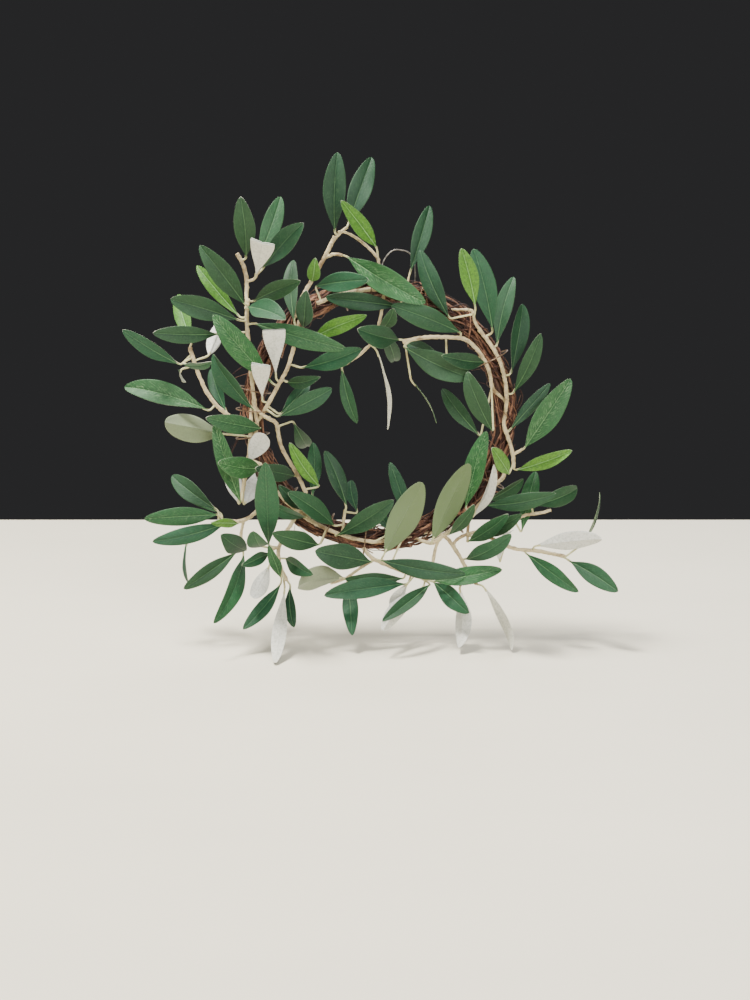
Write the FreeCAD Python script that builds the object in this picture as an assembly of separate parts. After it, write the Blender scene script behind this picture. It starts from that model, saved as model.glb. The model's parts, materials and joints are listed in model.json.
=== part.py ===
"""Olive-leaf crown: fabric olive leaves on wire-cored sprays, tied to a ring of twisted vine.

The ring stands upright in the XZ plane, centred on the origin. Its front faces -Y and its top is +Z.
Every leaf is a separate fabric blade on a moulded stalk, every stalk is pushed onto a moulded stem,
and every stem holds a steel wire. Most stems are tied down along the ring. Six sprays are tied only
at their root, so they can be bent forward by hand, and each of them is a body of its own.
"""

import FreeCAD
import Part

import math
import os

from FreeCAD import Vector

# --- driving dimensions, in millimetres and degrees -----------------------------------------------
RING_RADIUS = 84.0          # to the middle of the vine bundle
HOOP_RADIUS = 5.6           # the tight inner bundle of vine
STRAND_RADIUS = 1.1         # one outer strand of vine
STRAND_COUNT = 13
STRAND_TWISTS = 3           # times a strand goes round the hoop in one turn of the ring
STRAND_GAP = 0.3            # between the hoop and the strands
BUNDLE_RADIUS = HOOP_RADIUS + STRAND_GAP + 2 * STRAND_RADIUS

STEM_RADIUS = 1.3
TWIG_RADIUS = 1.0           # side twig of a stem
WIRE_RADIUS = 0.45          # steel wire inside a stem
STALK_RADIUS = 0.65         # leaf stalk
STALK_GRIP = 4.0            # length of stalk that runs under the blade
ROOT_SPACING = 2.2          # least distance between two stalks where they leave a stem
ROOT_FREE = 2.9             # a stalk is this long before it has to be clear of stems
BLADE_THICKNESS = 0.5
LEAF_BEND = 22.0            # how far a blade curves back from base to tip
LEAF_LENGTH = 47.0          # a leaf that looks shorter than this from the front leans forward
YOUNG_LENGTH = 34.0         # the same for a young leaf
YOUNG_WIDTH = 9.5           # a leaf up to this width is a young one
LEAN_SHARE = 0.8            # how much of the missing length the lean makes up

TIE_WIRE_RADIUS = 0.4
TIE_GAP = 0.4               # between a tie and what it holds
TIE_REACH = 16.5            # a stem this near the middle of the bundle is held by the tie
TIE_ANGLES = (27, 71, 93, 106, 168, 177, 189, 222, 246, 264, 306, 330)
LOOP_TIES = (71, 93)        # these also hold the feet of the hanging loop

LOOP_WIRE_RADIUS = 0.45     # hanging loop at the top of the ring
LOOP_ANGLE = 82.0           # its place on the ring
LOOP_WIDTH = 24.0
LOOP_RISE = 26.0            # from the middle of the bundle to the top of the loop
LOOP_BACK = 8.7             # its feet lie behind the bundle, under two ties

TENDRIL_RADIUS = 0.5        # fine vine ends that curl off the ring

BLADE_ROOT = 0.7            # half width of a blade where its stalk joins
WIDEST_AT = 0.47            # where a blade is widest, as a share of its length
SIGHT_MARGIN = 0.4          # added to each side of a blade when room is made for it

CELL = 1.2                  # pitch of the points that leaves are kept apart by
CLEARANCE = 2.1             # least distance between those points
BALL_SLACK = 1.01           # so that a cell exactly on the clearance counts
RING_MARGIN = 0.8           # kept between leaf points and the vine bundle
STEM_PITCH = 0.8            # pitch of the places on a stem where a stalk may root
SWING_STEPS = 4             # places tried between the rest pose and the end of a hinge
FIXTURES = 1 << 40          # the owner of ties, tendrils and the hanging loop
FORWARD = Vector(0, -1, 0)

# how far a leaf may be moved to find room: its base and its tip forward, in mm, and its roll
BASE_SHIFTS = (0, 1.2, -1.2, 2.4, -2.4, 3.6, -3.6, 5.0, -5.0, 7.0)
TIP_SHIFTS = (0, 2, -2, 4, -4, 7, -7, 10, -10, 14, -14, 18, -18, 23)
TURNS = (0, 14, -14, 28, -28)
BASE_COST = 1.6             # per mm
TIP_COST = 0.5              # per mm
TURNS_PER_COST = 12.0       # degrees of roll that cost as much as 1


# --- the sprays -----------------------------------------------------------------------------------
# area: the stalks of tied sprays are kept together by area.
# stems: routes of the moulded stem, the main one first and then its side twigs.
# leaves: (base, tip, width) and, where they aren't 0 and LEAF_BEND, the roll and the bend.
#   A leaf with no roll turns its green face to the front; at 180 it shows its pale back.
# hinge: for a free spray, the point where it bends, the axis, and its range forward.
SPRAYS = {
    "left_main": {
        "area": "left",
        "stems": [
            [(-80, -10.8, -5), (-82, -10.8, 14), (-84, -12, 32), (-85, -12, 50), (-86, -12, 64),
             (-85, -11, 78)],
        ],
        "leaves": [
            ((-91, -8, 66), (-120, -6, 99), 10),
            ((-82, -7, 76), (-50, -8, 90), 12),
            ((-104, -13, 55), (-144, -16, 57), 12),
            ((-82, -14, 5), (-109, -20, 41), 14),
            ((-90, -15, 64), (-134, -22, 78), 15),
            ((-87, -16, 75), (-114, -26, 112), 15),
            ((-80, -16, 62), (-21, -26, 46), 14),
            ((-85, -17, 73), (-60, -44, 68), 15),
        ],
    },
    "crest": {
        "stems": [
            [(-86, -7, 84), (-86, -7, 92), (-88, -7, 100), (-92, -8, 107)],
            [(-86, -7, 89), (-81, -7, 90), (-78, -7, 96)],
        ],
        "leaves": [
            ((-79, -3, 102), (-64, 4, 144), 13),
            ((-76, -6, 97), (-49, -6, 126), 15),
            ((-86, -9, 104), (-87, -12, 142), 14),
            ((-80, -10, 92), (-74, -28, 114), 14, 180, 30),
        ],
        "hinge": {"at": (-86, -7, 85), "axis": (-1, 0, 0), "range": (0, 14)},
    },
    "inner_left": {
        "area": "left",
        "stems": [
            [(-77, -11.5, 1), (-72, -13, 10), (-66, -13, 21), (-60, -12, 31), (-56, -11, 43),
             (-53, -10, 57)],
        ],
        "leaves": [
            ((-55, -4, 63), (-57, 4, 103), 11),
            ((-49, -13, 59), (-46, -18, 83), 12),
            ((-42, -9, 53), (-8, -12, 68), 11),
            ((-60, -9, 23), (-39, -20, 28), 9),
            ((-64, -12, 3), (-46, -10, 21), 10),
            ((-67, -14, 27), (-66, -14, 61), 13, 180),
            ((-76, -15, 12), (-74, -18, 38), 11, 180),
            ((-50, -13, 33), (-11, -20, 46), 13),
            ((-65, -17, 2), (-30, -24, 20), 13),
            ((-69, -18, 23), (-105, -36, 68), 16),
        ],
    },
    "inner_low": {
        "area": "left",
        "stems": [
            [(-73, -15, 0), (-67, -13, -3), (-65, -11, -19), (-58, -12, -31), (-52, -12, -41),
             (-48, -12, -51)],
        ],
        "leaves": [
            ((-56, -8, -4), (-48, -6, -26), 11),
            ((-55, -14, -39), (-78, -18, -29), 12),
            ((-44, -8, -54), (-44, -5, -19), 10),
            ((-39, -14, -46), (-57, -20, -14), 10),
        ],
    },
    "bottom_left": {
        "area": "bottom",
        "stems": [
            [(-62, -11, -56), (-47, -11, -69), (-31, -11, -77), (-16, -11, -82), (-3, -12, -84)],
            [(-24, -11, -80), (-23, -12, -70), (-22, -12, -62)],
        ],
        "leaves": [
            ((-14, -8, -64), (-19, -4, -46), 9),
            ((9, -9, -77), (-4, -8, -62), 9),
            ((-21, -10, -58), (-35, -10, -22), 12),
            ((-46, -8, -63), (-65, -8, -43), 9),
            ((-48, -14, -67), (-70, -16, -52), 11),
            ((-29, -16, -72), (-58, -22, -46), 14),
            ((-39, -15, -84), (-68, -20, -72), 14),
            ((-28, -16, -79), (10, -28, -53), 14),
        ],
    },
    "left_mid": {
        "area": "left",
        "stems": [
            [(-84, -11, -4), (-85, -11.5, -20), (-88, -12, -38), (-91, -12, -54)],
            [(-86, -11.5, -27), (-82, -14, -29), (-77, -15, -31)],
        ],
        "leaves": [
            ((-103, -9, -12), (-139, -10, -1), 19, 180),
            ((-93, -9, -59), (-104, -8, -31), 12, 180),
            ((-90, -8, -60), (-80, -6, -42), 13, 180),
            ((-86, -14, -29), (-72, -22, -5), 13, 180),
            ((-77, -15, -7), (-110, -24, 3), 13),
            ((-91, -16, -56), (-107, -26, -2), 12),
            ((-77, -18, -33), (-101, -32, -25), 15),
        ],
    },
    "left_outer": {
        "stems": [
            [(-97, -6, -1), (-106, -8, 6), (-114, -8, 17), (-120, -8, 32), (-124, -8, 46)],
        ],
        "leaves": [
            ((-112, -5, 40), (-104, -2, 65), 10, 180),
            ((-131, -5, 31), (-132, -4, 20), 5, 75),
            ((-123, -8, 50), (-135, -6, 80), 12),
            ((-101, -10, 3), (-113, -8, 31), 10),
            ((-129, -9, 35), (-108, -12, 38), 9, 45),
            ((-131, -8, 34), (-165, -12, 58), 11),
            ((-112, -12, 5), (-167, -22, 21), 16),
        ],
        "hinge": {"at": (-98, -6.5, 0), "axis": (0, 0, -1), "range": (0, 14)},
    },
    "low_left": {
        "stems": [
            [(-78, -12, -60), (-84, -12, -66), (-91, -12, -70), (-100, -11, -70)],
            [(-98, -11, -70), (-114, -8, -75), (-127, -8, -81)],
            [(-90, -12, -70), (-92, -12, -80), (-91, -13, -87)],
        ],
        "leaves": [
            ((-106, -5, -66), (-139, 2, -49), 10),
            ((-108, -8, -63), (-141, -6, -43), 13),
            ((-129, -9, -84), (-127, -12, -110), 8, 60),
            ((-107, -14, -65), (-155, -20, -67), 13),
            ((-102, -15, -71), (-149, -26, -81), 12),
            ((-93, -15, -71), (-108, -24, -66), 7),
            ((-94, -14, -90), (-128, -22, -111), 11),
            ((-88, -16, -90), (-101, -32, -72), 14),
            ((-90, -15, -93), (-104, -32, -126), 13),
        ],
        "hinge": {"at": (-79, -12, -61), "axis": (-0.6, 0, 0.8), "range": (0, 12)},
    },
    "low_front": {
        "area": "bottom",
        "stems": [
            [(-51, -14.4, -61), (-56, -14.4, -68), (-62, -15, -78), (-67, -15.5, -88),
             (-66, -17, -99), (-61, -18, -109)],
            [(-66.5, -15.5, -87), (-71, -17, -88)],
        ],
        "leaves": [
            ((-72, -19, -90), (-87, -19, -93), 9),
            ((-73, -12, -100), (-83, -16, -116), 11, 180),
            ((-62, -18, -94), (-44, -24, -97), 11),
            ((-65, -22, -106), (-71, -27, -82), 8),
            ((-59, -20, -112), (-56, -28, -135), 9, 20),
            ((-62, -22, -113), (-66, -52, -152), 10, 180),
            ((-65, -19, -112), (-88, -34, -135), 10),
            ((-78, -20, -86), (-80, -38, -69), 14),
            ((-73, -21, -86), (-71, -44, -23), 16),
        ],
    },
    "bottom": {
        "area": "bottom",
        "stems": [
            [(-10, -12, -88), (-4, -14, -95), (8, -14, -100), (22, -14, -106), (34, -14, -109)],
            [(-3, -14, -96), (-13, -14, -102), (-22, -14, -109), (-32, -14, -112)],
        ],
        "leaves": [
            ((21, -10, -69), (8, -8, -33), 10),
            ((20, -13, -112), (8, -14, -126), 9, 180),
            ((37, -13, -111), (58, -14, -124), 13),
            ((-20, -14, -112), (-17, -24, -139), 11),
            ((17, -17, -108), (-22, -20, -108), 9),
            ((30, -16, -114), (2, -36, -134), 12, 180),
            ((37, -18, -108), (81, -26, -97), 13),
            ((4, -18, -91), (29, -24, -41), 20, 180),
            ((2, -19, -94), (57, -34, -101), 13),
            ((35, -18, -111), (3, -34, -127), 10),
            ((19, -19, -111), (-35, -32, -114), 14),
            ((-23, -20, -107), (-53, -42, -106), 18, 180),
            ((-4, -20, -96), (-40, -44, -84), 18),
        ],
    },
    "right_low": {
        "area": "right",
        "stems": [
            [(84, -11, -40), (76, -11.5, -47), (69, -12, -57), (61, -12, -67), (49, -12, -76),
             (36, -12, -85)],
            [(61, -12, -67), (60, -13, -76), (60, -13, -84)],
        ],
        "leaves": [
            ((36, -10, -83), (60, -6, -28), 17, 180),
            ((73, -10, -55), (98, -6, -43), 11),
            ((68, -13, -80), (92, -16, -61), 11),
            ((64, -15, -66), (76, -16, -28), 10, 125),
            ((47, -15, -79), (62, -20, -54), 10),
            ((60, -15, -83), (84, -22, -60), 11),
            ((71, -17, -58), (117, -22, -49), 12),
            ((58, -17, -60), (70, -24, -8), 15),
        ],
    },
    "right_upper": {
        "area": "right",
        "stems": [
            [(66, -11, 58), (74, -12, 48), (80, -12, 38), (84, -12, 24), (85, -11.5, 11)],
            [(68, -11, 56), (63, -12, 63), (62, -13, 70)],
        ],
        "leaves": [
            ((46, -10, 66), (27, -8, 109), 13),
            ((88, -9, 29), (96, -6, 74), 14),
            ((78, -10, 48), (89, -8, 92), 12),
            ((75, -11, 57), (62, -12, 110), 16),
            ((89, -12, 16), (105, -16, 56), 11),
            ((63, -14, 73), (53, -20, 110), 12),
        ],
    },
    "inner_right": {
        "area": "right",
        "stems": [
            [(75, -12, 20), (73, -12, 32), (67, -12, 43), (58, -12, 52), (46, -12, 53),
             (30, -12, 53), (16, -13, 50)],
        ],
        "leaves": [
            ((44, -8, 38), (17, -4, 47), 10),
            ((56, -7, 33), (33, -4, 36), 10),
            ((23, -10, 24), (39, -12, -2), 8, 265),
            ((67, -11, -12), (43, -10, 17), 11),
            ((70, -14, 37), (42, -18, 43), 11),
            ((54, -15, 56), (9, -24, 74), 15),
            ((75, -15, -8), (57, -22, 31), 15),
            ((14, -15, 51), (-12, -38, 60), 15),
            ((17, -16, 47), (61, -34, 27), 17),
        ],
    },
    "ring_top": {
        "area": "right",
        "stems": [
            [(-40, -12, 75), (-25, -12, 81), (-8, -12, 84), (10, -12, 84), (26, -12, 80)],
            [(4, -12, 84), (2, -10, 66), (-3, -10, 50), (-12, -10, 41), (-22, -10, 35)],
            [(0, -12, 84), (1, -9, 95), (0, -10, 104)],
        ],
        "leaves": [
            ((21, -7, 95), (34, -5, 138), 12),
            ((-24, -8, 32), (-14, -6, -5), 9),
            ((4, -5, 56), (12, -2, 32), 10),
            ((0, -12, 44), (7, -12, -8), 9, 262),
            ((0, -13, 56), (10, -20, 72), 10),
            ((-1, -12, 111), (-23, -18, 140), 11),
            ((-41, -12, 86), (-7, -12, 91), 13),
            ((14, -15, 73), (-34, -20, 79), 12),
        ],
    },
    "top": {
        "stems": [
            [(-50, -12, 78), (-43, -12, 90), (-35, -12, 104), (-28, -12, 118)],
            [(-30, -12, 114), (-25, -12, 120), (-20, -11, 124)],
            [(-35, -12, 104), (-29, -13, 107), (-23, -15, 106)],
        ],
        "leaves": [
            ((-19, -9, 127), (-4, -4, 169), 15),
            ((-28, -13, 121), (-26, -16, 171), 15),
            ((-43, -16, 89), (-40, -26, 103), 9),
            ((-20, -16, 105), (30, -30, 76), 17),
        ],
        "hinge": {"at": (-49, -12, 79), "axis": (-0.87, 0, -0.5), "range": (0, 14)},
    },
    "right_side": {
        "stems": [
            [(84, -12, -8), (88, -12, -18), (90, -12, -27), (90, -12, -34)],
            [(89, -12, -25), (93, -12, -23), (96, -12, -21)],
        ],
        "leaves": [
            ((87, -8, -9), (114, -4, 22), 9),
            ((97, -13, -20), (126, -18, 26), 17),
            ((92, -13, -35), (125, -20, -19), 10),
            ((87, -16, -37), (73, -24, -15), 11),
        ],
        "hinge": {"at": (84.5, -12, -9), "axis": (-0.4, 0, 0.92), "range": (0, 12)},
    },
    "right_outer": {
        "stems": [
            [(70, -12, -77), (80, -12, -84), (92, -12, -89), (108, -12, -90), (126, -12, -94)],
            [(82, -12, -85), (88, -11, -72), (97, -10, -66), (108, -9, -65), (116, -8, -63)],
        ],
        "leaves": [
            ((97, -5, -78), (108, 2, -40), 12),
            ((138, -9, -86), (150, -6, -52), 9, 80),
            ((104, -9, -60), (138, -6, -52), 13),
            ((81, -17, -96), (86, -26, -67), 10, 250),
            ((105, -15, -86), (148, -20, -78), 13, 180),
            ((99, -16, -91), (131, -32, -112), 11),
            ((128, -14, -96), (157, -24, -111), 13),
        ],
        "hinge": {"at": (71, -12, -78), "axis": (-0.3, 0, 0.95), "range": (0, 12)},
    },
    "bottom_right": {
        "area": "bottom",
        "stems": [
            [(47, -12, -82), (54, -14, -92), (60, -15, -103), (66, -16, -112)],
        ],
        "leaves": [
            ((58, -16, -95), (85, -26, -71), 14),
            ((55, -18, -114), (54, -44, -149), 12, 205),
            ((71, -18, -113), (90, -40, -151), 9, 220),
        ],
    },
}


# --- wires and tubes ------------------------------------------------------------------------------
def unit(vector):
    return vector * (1.0 / vector.Length)


def corner(before, point, after):
    """The arc that rounds a corner, as its two ends and its middle."""
    back = before - point
    ahead = after - point
    reach = 0.42 * min(back.Length, ahead.Length)
    back = unit(back)
    ahead = unit(ahead)
    half = back.getAngle(ahead) / 2.0
    if half > math.radians(89.5):
        return None
    middle = reach / math.cos(half) - reach * math.tan(half)
    return (point + back * reach, point + unit(back + ahead) * middle, point + ahead * reach)


def route(points):
    """Straight runs joined by tangent arcs."""
    edges = []
    start = points[0]
    for i in range(1, len(points) - 1):
        arc = corner(points[i - 1], points[i], points[i + 1])
        if arc is None:
            continue
        edges.append(Part.makeLine(start, arc[0]))
        edges.append(Part.Arc(*arc).toShape())
        start = arc[2]
    edges.append(Part.makeLine(start, points[-1]))
    return Part.Wire(edges)


def tube(points, radius):
    circle = Part.makeCircle(radius, points[0], points[1] - points[0])
    return route(points).makePipeShell([Part.Wire(circle)], True, False)


def along(points, step):
    """Points at an even pitch on a route, near enough for keeping things apart."""
    return route(points).discretize(Distance=step)


def ring_frame(angle):
    """A point on the ring's middle line, and the directions out of and along the ring there."""
    turn = math.radians(angle)
    outward = Vector(math.cos(turn), 0, math.sin(turn))
    tangent = Vector(-math.sin(turn), 0, math.cos(turn))
    return outward * RING_RADIUS, outward, tangent


# --- the ring -------------------------------------------------------------------------------------
def hoop():
    return Part.makeTorus(RING_RADIUS, HOOP_RADIUS, Vector(0, 0, 0), Vector(0, 1, 0))


def strand(index):
    """One outer length of vine, wound along the hoop for most of a turn."""
    start = 360.0 * index / STRAND_COUNT * 5
    lay = HOOP_RADIUS + STRAND_GAP + STRAND_RADIUS
    points = []
    for step in range(58):
        angle = start + step * 6.0
        centre, outward, tangent = ring_frame(angle)
        twist = math.radians(360.0 * index / STRAND_COUNT + STRAND_TWISTS * angle)
        points.append(centre + outward * (lay * math.cos(twist)) + FORWARD * (lay * math.sin(twist)))
    return tube(points, STRAND_RADIUS)


def held_by_tie(angle):
    """What a tie goes round: each thing's place across the bundle, and its radius."""
    centre, outward, tangent = ring_frame(angle)
    held = [(0.0, 0.0, BUNDLE_RADIUS)]
    if angle in LOOP_TIES:
        held.append((-1.5, -LOOP_BACK, LOOP_WIRE_RADIUS))
    for spray in SPRAYS.values():
        for points in stem_routes(spray):
            for spot in along(points, CELL / 2.0):
                off = spot - centre
                if abs(off.dot(tangent)) < CELL / 2.0 and off.Length < TIE_REACH:
                    held.append((off.dot(outward), off.dot(FORWARD), STEM_RADIUS))
    return held


def tie_circle(angle):
    """The smallest circle round all that a tie holds, as its middle and radius."""
    centre, outward, tangent = ring_frame(angle)
    held = held_by_tie(angle)
    best = None
    for i in range(-20, 21):
        for j in range(-5, 31):
            out = 0.2 * i
            front = 0.2 * j
            radius = max(math.hypot(out - place[0], front - place[1]) + place[2] for place in held)
            if best is None or radius < best[0]:
                best = (radius, out, front)
    radius, out, front = best
    return centre + outward * out + FORWARD * front, radius + TIE_GAP + TIE_WIRE_RADIUS


def tie(angle):
    """A wire tie, closed round the bundle and the stems in front of it."""
    tangent = ring_frame(angle)[2]
    middle, radius = tie_circle(angle)
    return Part.makeTorus(radius, TIE_WIRE_RADIUS, middle, tangent)


def hanging_loop():
    """A wire arch that stands up behind the top of the ring."""
    centre, outward, tangent = ring_frame(LOOP_ANGLE)
    middle = centre - FORWARD * LOOP_BACK
    half = LOOP_WIDTH / 2.0
    arch = ((1.75, -2.5), (1, 0), (1, 9), (0.86, 19), (0.45, LOOP_RISE))
    points = [middle + tangent * (-side * half) + outward * rise for side, rise in arch]
    points += [middle + tangent * (side * half) + outward * rise for side, rise in reversed(arch)]
    return tube(points, LOOP_WIRE_RADIUS)


TENDRILS = (
    [(43, -10.5, 70), (50, -12, 73), (56, -13, 75), (60, -12, 72), (63, -10.5, 67)],
    [(30, -10, 80), (38, -13.5, 75), (45, -15, 74), (49, -15.5, 69)],
    [(92.3, -2.5, 4), (95.5, -4, 9), (96, -6, 14), (94, -8, 18)],
    [(-91.6, -3, -13), (-96, -5, -20), (-99, -5, -28), (-104, -6, -33)],
    [(-62, -10.5, 62), (-68, -11.5, 56), (-70, -10.5, 50)],
)


def tendril(points):
    return tube([Vector(*p) for p in points], TENDRIL_RADIUS)


# --- a spray --------------------------------------------------------------------------------------
def stem_routes(spray):
    return [[Vector(*p) for p in points] for points in spray["stems"]]


def root_on(runs, used, target):
    """The closest place on a spray's stems that no other stalk has taken."""
    best = None
    for spot in runs:
        if any((spot - other).Length < ROOT_SPACING for other in used):
            continue
        if best is None or (spot - target).Length < (best - target).Length:
            best = spot
    return best


class Leaf:
    """A blade's place: its base, its directions and its bend."""

    root = None

    def __init__(self, base, tip, width, roll=0, bend=LEAF_BEND):
        self.base = Vector(*base)
        self.tip = Vector(*tip)
        self.width = width
        self.roll = roll
        self.bend = bend

    def leaned(self):
        """The same leaf, tilted to the front until it is as long as its kind grows."""
        chord = self.tip - self.base
        seen = math.hypot(chord.x, chord.z)
        full = YOUNG_LENGTH if self.width <= YOUNG_WIDTH else LEAF_LENGTH
        lean = LEAN_SHARE * math.sqrt(max(0.0, full * full - seen * seen))
        if lean <= abs(chord.y):
            return self
        side = 1 if chord.y <= 0 else -1
        tip = Vector(self.tip.x, self.base.y, self.tip.z) + FORWARD * (side * lean)
        return Leaf(self.base, tip, self.width, self.roll, self.bend)

    def moved(self, base_shift, tip_shift, turn):
        base = self.base + FORWARD * base_shift
        tip = self.tip + FORWARD * tip_shift
        leaf = Leaf(base, tip, self.width, self.roll + turn, self.bend)
        leaf.root = self.root
        return leaf

    def axes(self):
        chord = self.tip - self.base
        ahead = unit(chord)
        face = unit(FORWARD - ahead * FORWARD.dot(ahead))
        face = FreeCAD.Rotation(ahead, self.roll).multVec(face)
        return chord.Length, ahead, face.cross(ahead), face

    def at(self, share, across):
        """A point on the blade's middle surface, which bends up to the green side."""
        length, ahead, side, face = self.axes()
        half = math.radians(self.bend) / 2.0
        radius = length / (2.0 * math.sin(half))
        x = share * length
        height = math.sqrt(radius * radius - (x - length / 2.0) ** 2) - radius * math.cos(half)
        return self.base + ahead * x + side * across + face * height

    def half_width(self, share):
        return self.width / 2.0 * (1.0 - (2.0 * share - 1.0) ** 2) + SIGHT_MARGIN

    def stalk(self):
        """From the stem to the base of the blade, and on beneath it."""
        length, ahead, side, face = self.axes()
        half = math.radians(self.bend) / 2.0
        start = unit(ahead * math.cos(half) + face * math.sin(half))
        drop = face * (BLADE_THICKNESS / 2.0 + 0.8 * STALK_RADIUS)
        entry = self.base - drop - start * 1.0
        return [self.root, entry, self.base - drop + start * STALK_GRIP]

    def cloud(self):
        """Points on the blade, and on its stalk beyond the stem's own space."""
        length = (self.tip - self.base).Length
        points = []
        rows = int(length / CELL)
        for row in range(rows + 1):
            share = row / rows
            half = self.half_width(share)
            columns = max(1, int(2 * half / CELL))
            for column in range(columns + 1):
                points.append(self.at(share, half * (2.0 * column / columns - 1.0)))
        return points + self.stalk_points(ROOT_FREE)

    def stalk_points(self, start):
        root, entry, end = self.stalk()
        reach = (entry - root).Length
        count = int(reach / CELL) + 1
        return [root + (entry - root) * (step / count) for step in range(count + 1)
                if reach * step / count >= start]


class Room:
    """The space that is already taken, as small cells that name the sprays in them."""

    def __init__(self):
        self.rest = {}
        self.swept = {}
        reach = range(-2, 3)
        limit = (CLEARANCE / CELL) ** 2 * BALL_SLACK
        self.ball = [(i, j, k) for i in reach for j in reach for k in reach
                     if i * i + j * j + k * k <= limit]

    def cell(self, point):
        return (round(point.x / CELL), round(point.y / CELL), round(point.z / CELL))

    def take(self, points, owner, swept=False):
        table = self.swept if swept else self.rest
        for x, y, z in {self.cell(point) for point in points}:
            for i, j, k in self.ball:
                key = (x + i, y + j, z + k)
                table[key] = table.get(key, 0) | owner

    def clashes(self, points, owner, moving=False):
        count = 0
        for point in points:
            key = self.cell(point)
            found = self.swept.get(key, 0) & ~owner
            if moving:
                found |= self.rest.get(key, 0) & ~owner
            else:
                found |= self.rest.get(key, 0)
            if found:
                count += 1
            elif self.in_ring(point):
                count += 1
        return count

    def in_ring(self, point):
        off = math.hypot(math.hypot(point.x, point.z) - RING_RADIUS, point.y)
        return off < BUNDLE_RADIUS + RING_MARGIN


def swung(points, hinge, share):
    """Points carried by a free spray to a share of its range."""
    at = Vector(*hinge["at"])
    turn = FreeCAD.Rotation(Vector(*hinge["axis"]), hinge["range"][1] * share)
    return [turn.multVec(point - at) + at for point in points]


def swing_shares():
    return [(step + 1.0) / SWING_STEPS for step in range(SWING_STEPS)]


def trials():
    """Small changes to a leaf's place, the smallest first."""
    found = []
    for base_shift in BASE_SHIFTS:
        for tip_shift in TIP_SHIFTS:
            for turn in TURNS:
                cost = BASE_COST * abs(base_shift) + TIP_COST * abs(tip_shift) + abs(turn) / TURNS_PER_COST
                found.append((cost, base_shift, tip_shift, turn))
    return sorted(found)


def settle(leaf, room, owner, hinge):
    """The leaf in the nearest place where it is clear of everything laid before it."""
    best = None
    for cost, base_shift, tip_shift, turn in trials():
        trial = leaf.moved(base_shift, tip_shift, turn)
        points = trial.cloud()
        count = room.clashes(points, owner)
        if hinge and (best is None or count < best[0]):
            for share in swing_shares():
                count += room.clashes(swung(points, hinge, share), owner, True)
        if best is None or count < best[0]:
            best = (count, trial, points)
        if best[0] == 0:
            break
    return best


def lay_out():
    """Every leaf of every spray, each laid clear of the ones before."""
    room = Room()
    owners = {name: 1 << index for index, name in enumerate(SPRAYS)}
    for angle in TIE_ANGLES:
        room.take(tie_points(angle), FIXTURES)
    room.take(loop_points(), FIXTURES)
    for points in TENDRILS:
        room.take(along([Vector(*point) for point in points], CELL), FIXTURES)
    for name, spray in SPRAYS.items():
        for points in stem_routes(spray):
            run = along(points, CELL)
            room.take(run, owners[name])
            if "hinge" in spray:
                for share in swing_shares():
                    room.take(swung(run, spray["hinge"], share), owners[name], True)
    placed = {}
    for name, spray in SPRAYS.items():
        runs = [spot for points in stem_routes(spray) for spot in along(points, STEM_PITCH)]
        hinge = spray.get("hinge")
        used = []
        placed[name] = []
        for number, row in enumerate(spray["leaves"]):
            leaf = Leaf(*row).leaned()
            leaf.root = root_on(runs, used, leaf.base)
            used.append(leaf.root)
            count, leaf, points = settle(leaf, room, owners[name], hinge)
            if count:
                print("no clear place for leaf", number, "of", name, "by", count, "points")
            room.take(points + leaf.stalk_points(CELL), owners[name])
            if hinge:
                for share in swing_shares():
                    room.take(swung(points, hinge, share), owners[name], True)
            placed[name].append(leaf)
    return placed


def tie_points(angle):
    outward = ring_frame(angle)[1]
    middle, radius = tie_circle(angle)
    turns = [math.radians(5.0 * step) for step in range(72)]
    return [middle + (outward * math.cos(t) + FORWARD * math.sin(t)) * radius for t in turns]


def loop_points():
    centre, outward, tangent = ring_frame(LOOP_ANGLE)
    middle = centre - FORWARD * LOOP_BACK
    found = []
    for side in range(-10, 11):
        for rise in range(8, int(LOOP_RISE) + 1, 1):
            found.append(middle + tangent * (side * LOOP_WIDTH / 20.0) + outward * rise)
    return found


def stem_solid(routes):
    """The moulded stem with its side twigs, before the wire is let in."""
    body = tube(routes[0], STEM_RADIUS)
    for points in routes[1:]:
        body = body.fuse(tube(points, TWIG_RADIUS))
    return body.removeSplitter()


def blade_solid(leaf):
    """A thin pointed oval, bent along its length with the green face outermost."""
    length, ahead, side, face = leaf.axes()
    half = math.radians(leaf.bend) / 2.0
    radius = length / (2.0 * math.sin(half))
    centre_z = -radius * math.cos(half)
    wide = leaf.width / 2.0 + 2.0
    outer = Part.makeCylinder(radius + BLADE_THICKNESS / 2.0, 2 * wide,
                              Vector(length / 2.0, -wide, centre_z), Vector(0, 1, 0))
    inner = Part.makeCylinder(radius - BLADE_THICKNESS / 2.0, 2 * wide,
                              Vector(length / 2.0, -wide, centre_z), Vector(0, 1, 0))
    neck = Vector(0, BLADE_ROOT, 0)
    far = Vector(0, -BLADE_ROOT, 0)
    tip = Vector(length, 0, 0)
    upper = Part.Arc(neck, Vector(WIDEST_AT * length, leaf.width / 2.0, 0), tip)
    lower = Part.Arc(tip, Vector(WIDEST_AT * length, -leaf.width / 2.0, 0), far)
    edge = Part.Wire([upper.toShape(), lower.toShape(), Part.makeLine(far, neck)])
    outline = Part.Face(edge)
    outline.translate(Vector(0, 0, -3))
    prism = outline.extrude(Vector(0, 0, 3 + length * 0.3))
    blade = prism.common(outer).cut(inner)
    matrix = FreeCAD.Matrix(ahead.x, side.x, face.x, leaf.base.x,
                            ahead.y, side.y, face.y, leaf.base.y,
                            ahead.z, side.z, face.z, leaf.base.z,
                            0, 0, 0, 1)
    blade = blade.Solids[0]
    blade.Placement = FreeCAD.Placement(matrix)
    return blade


def save(name, shape):
    shape.exportStep("parts/" + name + ".step")


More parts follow.
